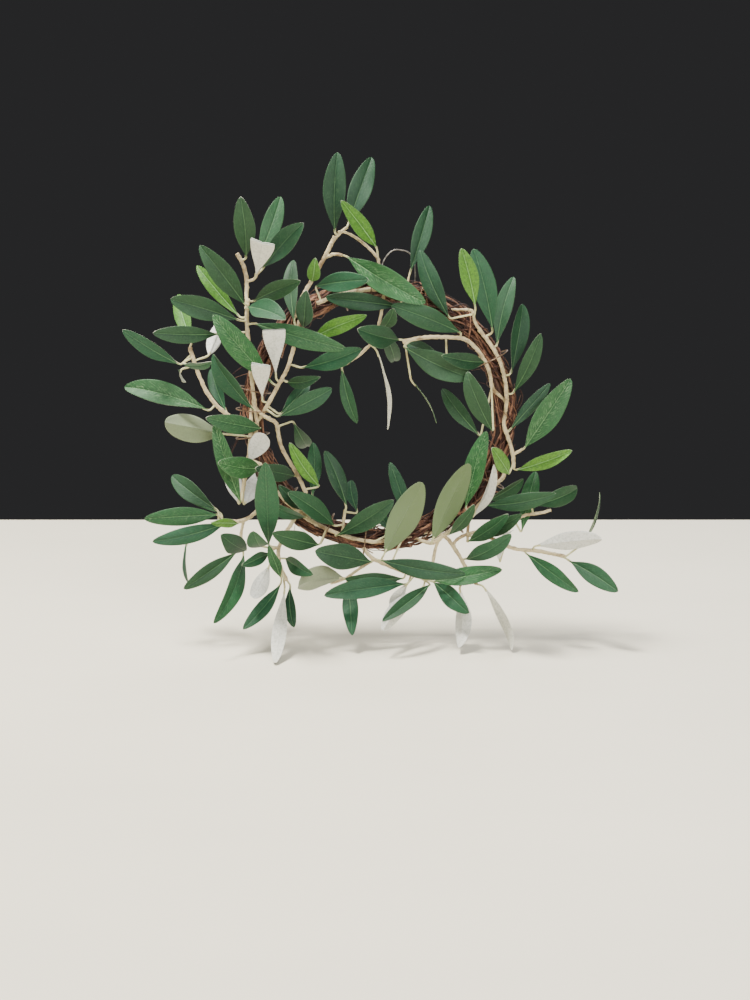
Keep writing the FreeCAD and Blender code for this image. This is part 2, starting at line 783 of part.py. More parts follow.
def build_ring():
    save("vine_hoop", hoop())
    save("vine_strands", Part.Compound([strand(index) for index in range(STRAND_COUNT)]))
    save("wire_ties", Part.Compound([tie(angle) for angle in TIE_ANGLES]))
    save("vine_tendrils", Part.Compound([tendril(points) for points in TENDRILS]))
    save("hanging_loop", hanging_loop())


def build_spray(name, spray, leaves):
    """Writes a spray's stem and leaves, and returns its stalks and its wire."""
    routes = stem_routes(spray)
    stem = stem_solid(routes)
    blades = [blade_solid(leaf) for leaf in leaves]
    stalks = []
    for leaf, blade in zip(leaves, blades):
        stalk = tube(leaf.stalk(), STALK_RADIUS)
        stalk = stalk.cut(stem).cut(blade)
        for other in stalks:
            if stalk.BoundBox.intersect(other.BoundBox):
                stalk = stalk.cut(other)
        stalks.append(max(stalk.Solids, key=lambda solid: solid.Volume))
    wire = tube(routes[0], WIRE_RADIUS)
    save("stem_" + name, stem.cut(wire))
    save("leaves_" + name, Part.Compound(blades))
    return stalks, wire


def main():
    os.makedirs("parts", exist_ok=True)
    build_ring()
    placed = lay_out()
    stalks = {}
    wires = {}
    for name, spray in SPRAYS.items():
        made, wire = build_spray(name, spray, placed[name])
        stalks.setdefault(spray.get("area", name), []).extend(made)
        wires.setdefault(name if "hinge" in spray else "fixed", []).append(wire)
    for name, solids in stalks.items():
        save("stalks_" + name, Part.Compound(solids))
    for name, solids in wires.items():
        save("wire_" + name, Part.Compound(solids))


main()
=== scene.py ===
"""Looks for the olive-leaf crown: fabric leaves, moulded stems and a bundle of fine vines."""
import json
import math
import random

import bpy
import numpy as np
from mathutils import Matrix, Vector


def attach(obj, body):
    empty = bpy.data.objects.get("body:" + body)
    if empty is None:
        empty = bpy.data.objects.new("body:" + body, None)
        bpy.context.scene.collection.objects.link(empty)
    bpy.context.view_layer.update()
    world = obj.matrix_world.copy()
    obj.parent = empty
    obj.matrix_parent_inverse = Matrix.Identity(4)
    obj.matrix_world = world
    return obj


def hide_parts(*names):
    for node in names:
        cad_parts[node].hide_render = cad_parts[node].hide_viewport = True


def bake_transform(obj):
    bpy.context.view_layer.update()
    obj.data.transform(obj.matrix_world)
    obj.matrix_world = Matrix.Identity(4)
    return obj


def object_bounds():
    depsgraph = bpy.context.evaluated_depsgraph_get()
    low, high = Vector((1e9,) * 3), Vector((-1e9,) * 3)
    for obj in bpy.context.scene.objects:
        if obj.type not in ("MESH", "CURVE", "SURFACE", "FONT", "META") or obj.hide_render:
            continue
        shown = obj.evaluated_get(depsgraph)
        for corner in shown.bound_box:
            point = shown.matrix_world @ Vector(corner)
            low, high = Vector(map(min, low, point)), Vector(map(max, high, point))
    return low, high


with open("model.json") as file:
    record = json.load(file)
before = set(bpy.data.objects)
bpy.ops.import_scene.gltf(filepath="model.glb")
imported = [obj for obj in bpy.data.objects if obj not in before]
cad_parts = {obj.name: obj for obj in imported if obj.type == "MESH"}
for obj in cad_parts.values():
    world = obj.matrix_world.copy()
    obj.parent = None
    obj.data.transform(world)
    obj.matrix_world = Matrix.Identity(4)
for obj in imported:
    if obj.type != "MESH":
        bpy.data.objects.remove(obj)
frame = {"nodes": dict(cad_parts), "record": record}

CAD_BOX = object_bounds()
MM = 0.001

# --- sizes, in metres ---------------------------------------------------------------------------
RING_RADIUS = 84.0 * MM
VINE_RADIUS = 8.0 * MM           # of the whole bundle, across the ring
ROOT_REACH = 19.0 * MM           # a stem end this near the ring's centre line joins the vines
FREE_REACH = 20.0 * MM           # a foot beyond this grows out of another stem

BLADE_THICKNESS = 0.34 * MM
EDGE_THICKNESS = 0.3             # of the blade's thickness, along its edge
NARROWEST = 0.25 * MM            # half width of a blade at its very ends
TOOTH_PITCH = 1.5 * MM           # fine saw teeth along a leaf's edge
TOOTH_DEPTH = 0.28 * MM
GROOVE_DEPTH = 0.16 * MM         # the sunken midrib
GROOVE_WIDTH = 0.5 * MM
QUILT = 0.05 * MM                # swelling of the cloth between two side veins
VEIN_TURN = 6.283                # radians of that swelling from one side vein to the next
VEIN_PITCH = 3.1 * MM            # side veins, along the midrib
VEIN_SLANT = 0.8                 # how far they run forwards, for each length out from it
CURL_START = 0.72                # where the tip begins to curl back, as a share of the length
CURL_GAIN = 12.0                 # makes the curl at the very tip nearly the whole amount
TWIST_CENTRE = 0.35              # where a twisted blade lies level
WAVE_LAG = 1.2                   # radians between the waves of the two edges
TOOTHED = (0.03, 0.985)          # the toothed share of the length
FOLD_AT = 0.66                   # where a doubled-back leaf folds
FOLD_GAP = 0.8 * MM
FOLD_BACK = 0.75                 # how far the tip comes back, for each length past the fold
FOLD_STRETCH = 0.92 / FOLD_AT    # the fold lies nearly where the tip of the plain blade is
FOLD_WIDEN = 1.15
RIB_REACH = 0.7                  # how far the rib under a blade runs, as a share of its length
RIB_RADIUS = 0.34 * MM           # at its base
COLUMNS = (-1.0, -0.88, -0.7, -0.5, -0.3, -0.13, -0.045, 0.0, 0.045, 0.13, 0.3, 0.5, 0.7, 0.88, 1.0)
SMALL_BACK = 14.5 * MM           # a narrower leaf that shows its back is a white one

# pitch of the moulded surface, size of its knobs and how far they stand out
STEM_KNOBS = (0.3 * MM, 2.2 * MM, 0.9 * MM)
STALK_KNOBS = (0.2 * MM, 1.6 * MM, 0.3 * MM)
KNOB_LEVEL = 0.48                # the shade of the noise that leaves the surface where it is

END_SLICE = 0.4 * MM             # points this near a blade's end make up the end
RIM_SIZE = 3.0 * MM              # points this near a stem's corner belong to its end
RIM_CLEAR = 4.0 * MM             # and points beyond this show which way the stem runs
RIM_POINTS = 12
CAP_DEPTH = 0.7 * MM             # of the flat end itself

ROOT_OVERLAP = 1.8 * MM          # a root begins this far inside its stem
BEND_BEHIND = 4.0 * MM           # on both sides of the stem's foot
FORK_DEPTH = 7.0 * MM            # how far the root runs into a parent stem
ROOT_RUN = 15.0 * MM             # or on among the vines
ROOT_TURN = 8.0 * MM             # the part of that run over which it turns in
ROOT_STEPS = 28

PHASES = (0.0, 6.28)             # radians, where a random wave may begin

# --- how leaves vary: the least and the most of each ---------------------------------------------
CUP = (-0.4, 1.3)                # mm that the halves sink at the edge
KEEL = (0.05, 0.42)              # slope of each half up from the midrib
WAVE = (0.3, 0.95)               # mm of waviness along the edge
WAVES = (0.7, 1.6)               # waves in the length
TWIST = (-22.0, 22.0)            # degrees from base to tip
CURL = (0.3, 2.6)                # mm that the tip curls back
SWAY = (-1.4, 1.4)               # mm that the middle bows sideways
BELLY = (1.0, 1.3)               # above 1, the widest place is past the middle
FOLDED_BELLY = 1.5
GREENS = (0.0, 0.86)             # place in the range of greens
VEINED_GREEN = 0.97

# --- the vines: lay is the way out from the bundle's middle, and spread how much it varies -------
INNER_LAYERS = ((1.6, 2.0, 6), (4.3, 1.45, 16))    # lay and radius in mm, and how many
INNER_SPREAD = 0.5 * MM
INNER_TURNS = (2.0, 3.5)         # about the bundle, for each turn about the ring
OUTER_VINES = 46
OUTER_LAY = 7.4 * MM
OUTER_RADII = (0.38, 0.95)       # mm
OUTER_SPREAD = 1.1 * MM
OUTER_TURNS = (-2.4, -1.2, 2.6, 3.2, 4.1, 3.0)
OUTER_TAILS = (1.0, 6.0)         # mm that a loose end lifts off
FINE_VINES = 60
FINE_LAY = 7.9 * MM
FINE_RADII = (0.2, 0.42)         # mm
FINE_SPREAD = 1.6 * MM
FINE_TURNS = (-6.0, -3.0, 2.0, 5.0, 8.0, 12.0)
FINE_TAILS = (2.0, 9.0)          # mm
FINE_SWEEP = (12.0, 70.0)        # degrees round the ring
WRAPS = 5                        # thin vines wound tightly round the rest
WRAP_LAY = 8.1 * MM
WRAP_RADIUS = 0.55 * MM
WRAP_SPREAD = 0.4 * MM
WRAP_TURNS = (13.0, -15.0)
WRAP_SWEEP = (40.0, 130.0)       # degrees
VINE_STEP = 2.4 * MM
VINE_TAPER = 0.45                # share of its thickness that a vine loses along its length
KNOT_PITCH = 17                  # steps
KNOT_SIZE = 0.22                 # as a share of the radius
TAIL_LENGTH = 14.0 * MM          # a loose end lifts off over this length
TAIL_TWIST = 0.125 / MM          # and swings round the bundle, for each length it lifts

# --- leaves that stand out, found by where their stalks join them: (x, z) in millimetres ---------
YOUNG = ((-43, 89), (-1, 111), (-91, 66), (-123, 50), (-93, -71), (-39, -46), (92, -35), (87, -37),
         (63, 73), (-42, 53))
VEINED = ((-19, 106), (-68, 22), (-115, 6), (96, -22), (60, -61), (-92, -55), (-77, -34))
FOLDED = ((-80, 92), (-67, 27), (-76, 12))
SAME_PLACE = 1.5                 # mm, for one leaf alone
NEAR_PLACE = 5.0                 # mm, for a leaf and its neighbours


# --- reading the frame --------------------------------------------------------------------------
def islands(obj):
    """The vertex coordinates of each separate solid in a CAD node."""
    mesh = obj.data
    points = np.empty(len(mesh.vertices) * 3)
    mesh.vertices.foreach_get("co", points)
    points = points.reshape(-1, 3)
    keys = {}
    merged = np.empty(len(points), dtype=int)
    for index, point in enumerate(np.round(points, 6)):
        merged[index] = keys.setdefault(tuple(point), len(keys))
    parent = list(range(len(keys)))

    def find(item):
        while parent[item] != item:
            parent[item] = parent[parent[item]]
            item = parent[item]
        return item

    for edge in mesh.edges:
        a, b = find(merged[edge.vertices[0]]), find(merged[edge.vertices[1]])
        if a != b:
            parent[a] = b
    groups = {}
    for index in range(len(points)):
        groups.setdefault(find(merged[index]), []).append(index)
    solids = [points[group] for group in groups.values()]
    return sorted(solids, key=lambda solid: tuple(np.round(solid.mean(axis=0), 5)))


def body_of(node):
    for body, nodes in frame["record"]["behaviour"]["bodies"].items():
        if node in nodes:
            return body
    return None


class Blade:
    """Where a CAD blade lies: its ends, its directions, its width and the height of its bend."""

    def __init__(self, points):
        middle = points.mean(axis=0)
        axis = np.linalg.svd(points - middle, full_matrices=False)[2][0]
        reach = (points - middle) @ axis
        low = points[reach < reach.min() + END_SLICE]
        high = points[reach > reach.max() - END_SLICE]
        if np.ptp(low, axis=0).sum() < np.ptp(high, axis=0).sum():
            low, high = high, low
        base, tip = low.mean(axis=0), high.mean(axis=0)
        chord = tip - base
        self.length = np.linalg.norm(chord)
        self.ahead = chord / self.length
        along = (points - base) @ self.ahead
        off = (points - base) - np.outer(along, self.ahead)
        self.base = base
        # the bend lifts every point to the green side, so the mean offset points there
        face = off.mean(axis=0)
        plane = np.linalg.svd(off, full_matrices=False)[2][0]
        face = face - plane * (face @ plane)
        self.face = face / np.linalg.norm(face)
        self.side = np.cross(self.face, self.ahead)
        self.width = np.ptp(off @ self.side)
        self.shows_back = self.face[1] > 0.2
        self.rise = (off @ self.face).max() - BLADE_THICKNESS

    def spine(self, t):
        """Height of the bent blade above its chord, a parabola through its ends."""
        return self.rise * 4.0 * t * (1.0 - t)


# --- building meshes ----------------------------------------------------------------------------
class Sheet:
    """Vertices and faces of many small pieces, gathered into one mesh."""

    def __init__(self):
        self.verts = []
        self.faces = []
        self.slots = []
        self.coords = []
        self.tints = []

    def add(self, verts, faces, slots, coords, tint):
        start = len(self.verts)
        self.verts += [tuple(v) for v in verts]
        self.faces += [tuple(start + i for i in face) for face in faces]
        self.slots += slots
        self.coords += coords
        self.tints += [tint] * len(verts)

    def build(self, name, materials):
        mesh = bpy.data.meshes.new(name)
        mesh.from_pydata(self.verts, [], self.faces)
        for material in materials:
            mesh.materials.append(material)
        mesh.polygons.foreach_set("material_index", self.slots)
        mesh.polygons.foreach_set("use_smooth", [True] * len(self.faces))
        place = mesh.attributes.new("place", "FLOAT_VECTOR", "POINT")
        place.data.foreach_set("vector", np.array(self.coords, dtype=float).ravel())
        tint = mesh.attributes.new("tint", "FLOAT_VECTOR", "POINT")
        tint.data.foreach_set("vector", np.array(self.tints, dtype=float).ravel())
        mesh.update()
        obj = bpy.data.objects.new(name, mesh)
        bpy.context.scene.collection.objects.link(obj)
        return obj


def stands_at(blade, places, slack):
    """Whether the blade's foot is within so many millimetres of one of the places."""
    x, z = blade.base[0] / MM, blade.base[2] / MM
    return any(math.hypot(x - across, z - up) < slack for across, up in places)


def outline(t, belly):
    """Share of the half width at a share of the length: drawn-out base, full belly, blunt tip."""
    full = math.sin(math.pi * min(1.0, t ** belly))
    return max(full, 0.0) ** (0.98 - 0.44 * t)


def pale_shade(blade, rng):
    """How white a leaf's back is, and how much painted grey sheen its green face gets: small leaves
    that show their backs are nearly white.
    """
    if blade.shows_back and blade.width < SMALL_BACK:
        return rng.uniform(0.8, 1.0)
    if blade.shows_back:
        return rng.uniform(0.0, 0.3)
    return rng.uniform(0.0, 0.75)


def leaf(sheet, blade, rng):
    """One cloth leaf: a sunken midrib, cupped halves and a wavy, toothed edge. Returns its tint."""
    rows = max(12, 2 * round(blade.length / TOOTH_PITCH))
    folded = stands_at(blade, FOLDED, SAME_PLACE) and blade.shows_back
    cup = rng.uniform(*CUP) * MM
    keel = rng.uniform(*KEEL)
    wave = rng.uniform(*WAVE) * MM
    waves = rng.uniform(*WAVES)
    phase = rng.uniform(*PHASES)
    twist = math.radians(rng.uniform(*TWIST))
    curl = rng.uniform(*CURL) * MM
    sway = rng.uniform(*SWAY) * MM
    belly = FOLDED_BELLY if folded else rng.uniform(*BELLY)
    green = rng.uniform(*GREENS)
    if stands_at(blade, VEINED, NEAR_PLACE):
        green = VEINED_GREEN
    young = 1.0 if stands_at(blade, YOUNG, SAME_PLACE) else 0.0
    tint = (green, young, pale_shade(blade, rng))
    verts = []
    coords = []
    count = len(COLUMNS)
    for layer in (0, 1):
        for row in range(rows + 1):
            t = row / rows
            full = outline(t, belly)
            wide = max(blade.width / 2.0 * full, NARROWEST)
            turn = twist * (t - TWIST_CENTRE)
            reach = t
            middle = blade.spine(t) - curl * CURL_GAIN * max(0.0, t - CURL_START) ** 2
            back = folded and t > FOLD_AT
            if back:
                reach = FOLD_AT - FOLD_BACK * (t - FOLD_AT)
                middle = blade.spine(reach) + FOLD_GAP
            if folded:
                reach *= FOLD_STRETCH
                wide *= FOLD_WIDEN
            shift = sway * math.sin(math.pi * t)
            for s in COLUMNS:
                x = s * wide
                if abs(s) == 1.0 and TOOTHED[0] < t < TOOTHED[1]:
                    x -= math.copysign(TOOTH_DEPTH * (row % 2), s)
                ripple = waves * math.pi * 2 * t + phase + (WAVE_LAG if s > 0 else 0)
                lift = keel * abs(x) + (wave * math.sin(ripple) - cup) * s * s * full
                lift -= GROOVE_DEPTH * math.exp(-(x / GROOVE_WIDTH) ** 2)
                between = (t * blade.length - abs(x) * VEIN_SLANT) / VEIN_PITCH
                lift += QUILT * math.sin(between * VEIN_TURN) * (1 - s * s)
                if layer:
                    thick = BLADE_THICKNESS * (EDGE_THICKNESS if abs(s) == 1.0 else 1.0)
                    lift += thick if back else -thick
                across = x * math.cos(turn) - lift * math.sin(turn)
                up = x * math.sin(turn) + lift * math.cos(turn)
                point = (blade.base + blade.ahead * (reach * blade.length)
                         + blade.side * (across + shift) + blade.face * (middle + up))
                verts.append(point)
                coords.append((t * blade.length / MM, x / MM, s))
    faces = []
    slots = []
    layer_size = (rows + 1) * count
    for row in range(rows):
        for column in range(count - 1):
            a = row * count + column
            faces.append((a, a + 1, a + 1 + count, a + count))
            slots.append(0)
            b = a + layer_size
            faces.append((b, b + count, b + count + 1, b + 1))
            slots.append(1)
        for column, flip in ((0, False), (count - 1, True)):
            a = row * count + column
            b = a + layer_size
            quad = (a, a + count, b + count, b)
            faces.append(tuple(reversed(quad)) if flip else quad)
            slots.append(1)
    for row, flip in ((0, False), (rows, True)):
        for column in range(count - 1):
            a = row * count + column
            b = a + layer_size
            quad = (a, b, b + 1, a + 1)
            faces.append(tuple(reversed(quad)) if flip else quad)
            slots.append(1)
    sheet.add(verts, faces, slots, coords, tint)
    return tint


def round_faces(rows, around):
    """The faces of a tube of so many rows, closed at both ends."""
    faces = []
    for row in range(rows):
        for step in range(around):
            a = row * around + step
            b = row * around + (step + 1) % around
            faces.append((a, b, b + around, a + around))
    faces.append(tuple(reversed(range(around))))
    faces.append(tuple(range(rows * around, (rows + 1) * around)))
    return faces


def rib(sheet, blade, tint):
    """The moulded rib that runs on under the blade from its stalk, tapering out before the tip."""
    rows, around = 12, 6
    verts = []
    coords = []
    for row in range(rows + 1):
        t = row / rows * RIB_REACH
        radius = RIB_RADIUS * (1.0 - 0.8 * row / rows)
        centre = (blade.base + blade.ahead * (t * blade.length)
                  + blade.face * (blade.spine(t) - BLADE_THICKNESS - 0.1 * MM - radius * 0.3))
        for step in range(around):
            turn = 2 * math.pi * step / around
            spoke = blade.side * math.cos(turn) + blade.face * math.sin(turn)
            verts.append(centre + spoke * radius)
            coords.append((t * blade.length / MM, 0.0, 0.0))
    faces = round_faces(rows, around)
    sheet.add(verts, faces, [1] * len(faces), coords, tint)


def tube(sheet, points, radii, around, tint):
    """A closed tube through the points, with a radius at each."""
    points = np.array(points)
    tangents = np.gradient(points, axis=0)
    tangents /= np.linalg.norm(tangents, axis=1)[:, None]
    normal = np.cross(tangents[0], (0.31, 0.87, 0.38))
    normal /= np.linalg.norm(normal)
    verts = []
    coords = []
    length = 0.0
    for index, (point, tangent) in enumerate(zip(points, tangents)):
        normal = normal - tangent * (normal @ tangent)
        normal /= np.linalg.norm(normal)
        other = np.cross(tangent, normal)
        if index:
            length += np.linalg.norm(point - points[index - 1])
        for step in range(around):
            turn = 2 * math.pi * step / around
            verts.append(point + (normal * math.cos(turn) + other * math.sin(turn)) * radii[index])
            coords.append((length / MM, math.cos(turn), math.sin(turn)))
    faces = round_faces(len(points) - 1, around)
    sheet.add(verts, faces, [0] * len(faces), coords, tint)


# --- materials ----------------------------------------------------------------------------------
class Nodes:
    """A short way to write a material's node tree."""

    def __init__(self, name):
        self.material = bpy.data.materials.new(name)
        self.material.use_nodes = True
        self.tree = self.material.node_tree
        self.shader = self.tree.nodes["Principled BSDF"]

    def set(self, **values):
        for key, value in values.items():
            self.shader.inputs[key.replace("_", " ")].default_value = value

    def link(self, a, b):
        self.tree.links.new(a, b)

    def node(self, kind, **values):
        item = self.tree.nodes.new(kind)
        for key, value in values.items():
            setattr(item, key, value)
        return item

    def attribute(self, name):
        item = self.node("ShaderNodeAttribute", attribute_name=name)
        split = self.node("ShaderNodeSeparateXYZ")
        self.link(item.outputs["Vector"], split.inputs[0])
        return split.outputs

    def math(self, operation, a, b=None, c=None):
        item = self.node("ShaderNodeMath", operation=operation)
        for index, value in enumerate((a, b, c)):
            if value is None:
                continue
            if isinstance(value, (int, float)):
                item.inputs[index].default_value = value
            else:
                self.link(value, item.inputs[index])
        return item.outputs[0]

    def noise(self, scale, detail=3.0, rough=0.55):
        coords = self.node("ShaderNodeTexCoord").outputs["Object"]
        item = self.node("ShaderNodeTexNoise")
        item.inputs["Scale"].default_value = scale
        item.inputs["Detail"].default_value = detail
        item.inputs["Roughness"].default_value = rough
        self.link(coords, item.inputs["Vector"])
        return item.outputs["Fac"]

    def threads(self, scale, distortion):
        """The weave of the cloth, as fine bands."""
        item = self.node("ShaderNodeTexWave", wave_type="BANDS")
        item.inputs["Scale"].default_value = scale
        item.inputs["Distortion"].default_value = distortion
        self.link(self.node("ShaderNodeTexCoord").outputs["Object"], item.inputs["Vector"])
        return item.outputs["Fac"]

    def ramp(self, source, stops):
        item = self.node("ShaderNodeValToRGB")
        ramp = item.color_ramp
        while len(ramp.elements) < len(stops):
            ramp.elements.new(0.5)
        for element, (place, colour) in zip(ramp.elements, stops):
            element.position = place
            element.color = (*colour, 1.0)
        self.link(source, item.inputs[0])
        return item.outputs[0]

    def mix(self, amount, a, b):
        item = self.node("ShaderNodeMix", data_type="RGBA")
        for index, value in ((0, amount), (6, a), (7, b)):
            if isinstance(value, (int, float)):
                item.inputs[index].default_value = value
            elif isinstance(value, tuple):
                item.inputs[index].default_value = (*value, 1.0)
            else:
                self.link(value, item.inputs[index])
        return item.outputs[2]

    def bump(self, height, strength, distance):
        item = self.node("ShaderNodeBump")
        item.inputs["Strength"].default_value = strength
        item.inputs["Distance"].default_value = distance
        self.link(height, item.inputs["Height"])
        self.link(item.outputs[0], self.shader.inputs["Normal"])

    def colour(self, value):
        self.link(value, self.shader.inputs["Base Color"])


def vein_lines(make, along, across, tint):
    """Pale side veins that curve forwards from the midrib, with a faint broken net between them."""
    away = make.math("ABSOLUTE", across)
    bow = make.math("MULTIPLY", make.math("POWER", away, 1.6), -0.42)
    lean = make.math("ADD", make.math("MULTIPLY_ADD", away, -0.75, along), bow)
    wobble = make.noise(230.0, 2.0, 0.5)
    lean = make.math("MULTIPLY_ADD", wobble, 5.0, lean)
    cycle = make.math("PINGPONG", lean, VEIN_PITCH / MM / 2.0)
    line = make.math("MAXIMUM", make.math("MULTIPLY_ADD", cycle, -5.0, 1.0), 0.0)
    place = make.node("ShaderNodeCombineXYZ")
    make.link(make.math("MULTIPLY", lean, 0.3), place.inputs[0])
    make.link(make.math("MULTIPLY", across, 0.36), place.inputs[1])
    make.link(make.math("MULTIPLY", tint, 90.0), place.inputs[2])
    cells = make.node("ShaderNodeTexVoronoi", feature="DISTANCE_TO_EDGE", voronoi_dimensions="3D")
    cells.inputs["Scale"].default_value = 1.0
    make.link(place.outputs[0], cells.inputs["Vector"])
    net = make.math("MAXIMUM", make.math("MULTIPLY_ADD", cells.outputs["Distance"], -16.0, 1.0), 0.0)
    both = make.math("MAXIMUM", line, make.math("MULTIPLY", net, 0.45))
    gaps = make.noise(360.0, 1.0)
    gaps = make.math("MULTIPLY_ADD", gaps, 3.6, -1.25)
    gaps = make.math("MINIMUM", make.math("MAXIMUM", gaps, 0.0), 1.0)
    fade = make.math("MAXIMUM", make.math("MULTIPLY_ADD", away, -0.11, 1.0), 0.1)
    return make.math("MULTIPLY", make.math("MULTIPLY", both, gaps), fade)


def contrast(make, source, start, gain, most):
    """How far a noise is past a level, stretched and cut off, as a mixing amount."""
    past = make.math("MAXIMUM", make.math("SUBTRACT", source, start), 0.0)
    return make.math("MINIMUM", make.math("MULTIPLY", past, gain), most)


def leaf_green():
    make = Nodes("leaf_green")
    along, across, share = make.attribute("place")
    tint, young, shade = make.attribute("tint")
    veins = vein_lines(make, along, across, tint)
    patches = make.noise(110.0, 4.0, 0.6)
    mottle = make.noise(600.0, 4.0, 0.7)
    deep = make.ramp(tint, [(0.0, (0.002, 0.016, 0.007)), (0.2, (0.003, 0.028, 0.014)),
                            (0.4, (0.012, 0.038, 0.009)), (0.6, (0.004, 0.052, 0.023)),
                            (0.8, (0.016, 0.078, 0.020)), (1.0, (0.018, 0.100, 0.018))])
    light = make.ramp(tint, [(0.0, (0.055, 0.180, 0.014)), (1.0, (0.100, 0.240, 0.026))])
    base = make.mix(young, deep, light)
    # Painted sheen: random patches on a grown leaf are mixed towards a brighter green, more so towards
    # the tip.
    painted_sheen = make.math("MULTIPLY", make.math("SUBTRACT", 1.0, young), patches)
    base = make.mix(make.math("MULTIPLY", painted_sheen, 0.34), base, (0.020, 0.092, 0.030))
    # Painted grey sheen: a grown leaf's face is greyed by the square of its random shade number.
    painted_grey_sheen = make.math("MULTIPLY", make.math("POWER", shade, 2.0), make.math("SUBTRACT", 1.0, young))
    base = make.mix(make.math("MULTIPLY", painted_grey_sheen, 0.5), base, (0.038, 0.084, 0.050))
    tipward = make.math("MINIMUM", make.math("MULTIPLY", along, 0.009), 0.45)
    base = make.mix(make.math("MULTIPLY", tipward, painted_sheen), base, (0.045, 0.125, 0.055))
    base = make.mix(contrast(make, mottle, 0.44, 2.4, 0.5), base, (0.002, 0.018, 0.008))
    base = make.mix(contrast(make, mottle, 0.57, 4.0, 0.22), base, (0.080, 0.190, 0.090))
    strength = make.math("MULTIPLY_ADD", make.math("POWER", tint, 6.0), 0.75, 0.09)
    strength = make.math("MULTIPLY_ADD", young, 0.25, strength)
    base = make.mix(make.math("MULTIPLY", veins, strength), base, (0.38, 0.58, 0.30))
    away = make.math("ABSOLUTE", across)
    taper = make.math("MAXIMUM", make.math("MULTIPLY_ADD", along, -0.006, 0.30), 0.06)
    midrib = make.math("LESS_THAN", away, taper)
    clear = make.math("MULTIPLY_ADD", young, 0.35, make.math("MULTIPLY_ADD", strength, 0.4, -0.15))
    worn = make.math("MULTIPLY", midrib, make.math("MULTIPLY_ADD", patches, 0.7, clear))
    worn = make.math("MAXIMUM", worn, 0.0)
    base = make.mix(worn, base, (0.20, 0.38, 0.16))
    # Painted shade: a darker line along both sides of the midrib, beside its sunken groove.
    groove_shade = make.math("LESS_THAN", make.math("ABSOLUTE", make.math("SUBTRACT", away, 0.75)), 0.3)
    base = make.mix(make.math("MULTIPLY", groove_shade, 0.25), base, (0.003, 0.020, 0.010))
    edge = make.math("POWER", make.math("ABSOLUTE", share), 18.0)
    base = make.mix(make.math("MULTIPLY", edge, 0.25), base, (0.10, 0.20, 0.09))
    make.colour(base)
    height = make.math("MULTIPLY_ADD", make.threads(900.0, 1.2), 0.2, veins)
    height = make.math("MULTIPLY_ADD", mottle, 0.7, height)
    make.bump(height, 0.6, 0.00015)
    rough = make.math("MULTIPLY_ADD", patches, 0.3, 0.42)
    make.link(rough, make.shader.inputs["Roughness"])
    make.set(Specular_IOR_Level=0.25)
    return make.material


def leaf_pale():
    make = Nodes("leaf_pale")
    along, across, _ = make.attribute("place")
    tint, _, shade = make.attribute("tint")
    veins = vein_lines(make, along, across, tint)
    patches = make.noise(140.0, 4.0, 0.6)
    base = make.ramp(shade, [(0.0, (0.095, 0.150, 0.055)), (0.35, (0.25, 0.28, 0.19)),
                             (0.75, (0.58, 0.56, 0.46)), (1.0, (0.66, 0.66, 0.65))])
    base = make.mix(make.math("MULTIPLY", patches, 0.2), base, (0.22, 0.25, 0.14))
    mottle = make.noise(650.0, 4.0, 0.7)
    base = make.mix(contrast(make, mottle, 0.5, 3.0, 0.3), base, (0.12, 0.15, 0.09))
    base = make.mix(make.math("MULTIPLY", veins, 0.25), base, (0.2, 0.26, 0.15))
    make.colour(base)
    make.bump(make.math("MULTIPLY_ADD", make.threads(800.0, 1.0), 0.4, veins), 0.5, 0.0001)
    make.link(make.math("MULTIPLY_ADD", patches, 0.2, 0.62), make.shader.inputs["Roughness"])
    make.set(Sheen_Weight=0.25, Sheen_Roughness=0.5, Specular_IOR_Level=0.3)
    return make.material


def moulded(name, light, dark, fleck):
    """Cream moulded plastic, washed with brown and flecked, with little scars and knobs."""
    make = Nodes(name)
    wash = make.noise(95.0, 4.0, 0.6)
    base = make.ramp(wash, [(0.32, dark), (0.5, light), (0.72, light)])
    specks = make.noise(900.0, 2.0)
    base = make.mix(make.math("MULTIPLY", make.math("GREATER_THAN", specks, 0.62), 0.5), base, fleck)
    make.colour(base)
    make.bump(make.noise(1300.0, 3.0), 0.5, 0.0002)
    make.link(make.math("MULTIPLY_ADD", wash, 0.25, 0.45), make.shader.inputs["Roughness"])
    make.set(Specular_IOR_Level=0.35)
    return make.material


def bark(name, dark, mid, light):
    """Dry vine: streaks along the length, and tan patches that are partly bark rubbed bare and partly
    painted highlights.
    """
    make = Nodes(name)
    tint = make.attribute("tint")[0]
    streak = make.noise(700.0, 5.0, 0.7)
    patch = make.noise(120.0, 4.0, 0.6)
    mixed = make.math("MULTIPLY_ADD", streak, 0.55, make.math("MULTIPLY", patch, 0.45))
    mixed = make.math("ADD", mixed, make.math("MULTIPLY_ADD", tint, 0.34, -0.17))
    # The brightest stop gives the tan patches, which are partly painted highlights.
    base = make.ramp(mixed, [(0.28, dark), (0.5, mid), (0.74, light)])
    make.colour(base)
    make.bump(streak, 0.8, 0.00025)
    make.link(make.math("MULTIPLY_ADD", patch, 0.25, 0.5), make.shader.inputs["Roughness"])
    make.set(Specular_IOR_Level=0.3)
    return make.material


def wire(name, colour, worn, metallic):
    make = Nodes(name)
    wear = make.noise(600.0, 3.0)
    make.colour(make.ramp(wear, [(0.4, colour), (0.7, worn)]))
    make.bump(make.noise(1500.0, 2.0), 0.3, 0.0001)
    make.link(make.math("MULTIPLY_ADD", wear, 0.3, 0.35), make.shader.inputs["Roughness"])
    make.set(Metallic=metallic)
    return make.material


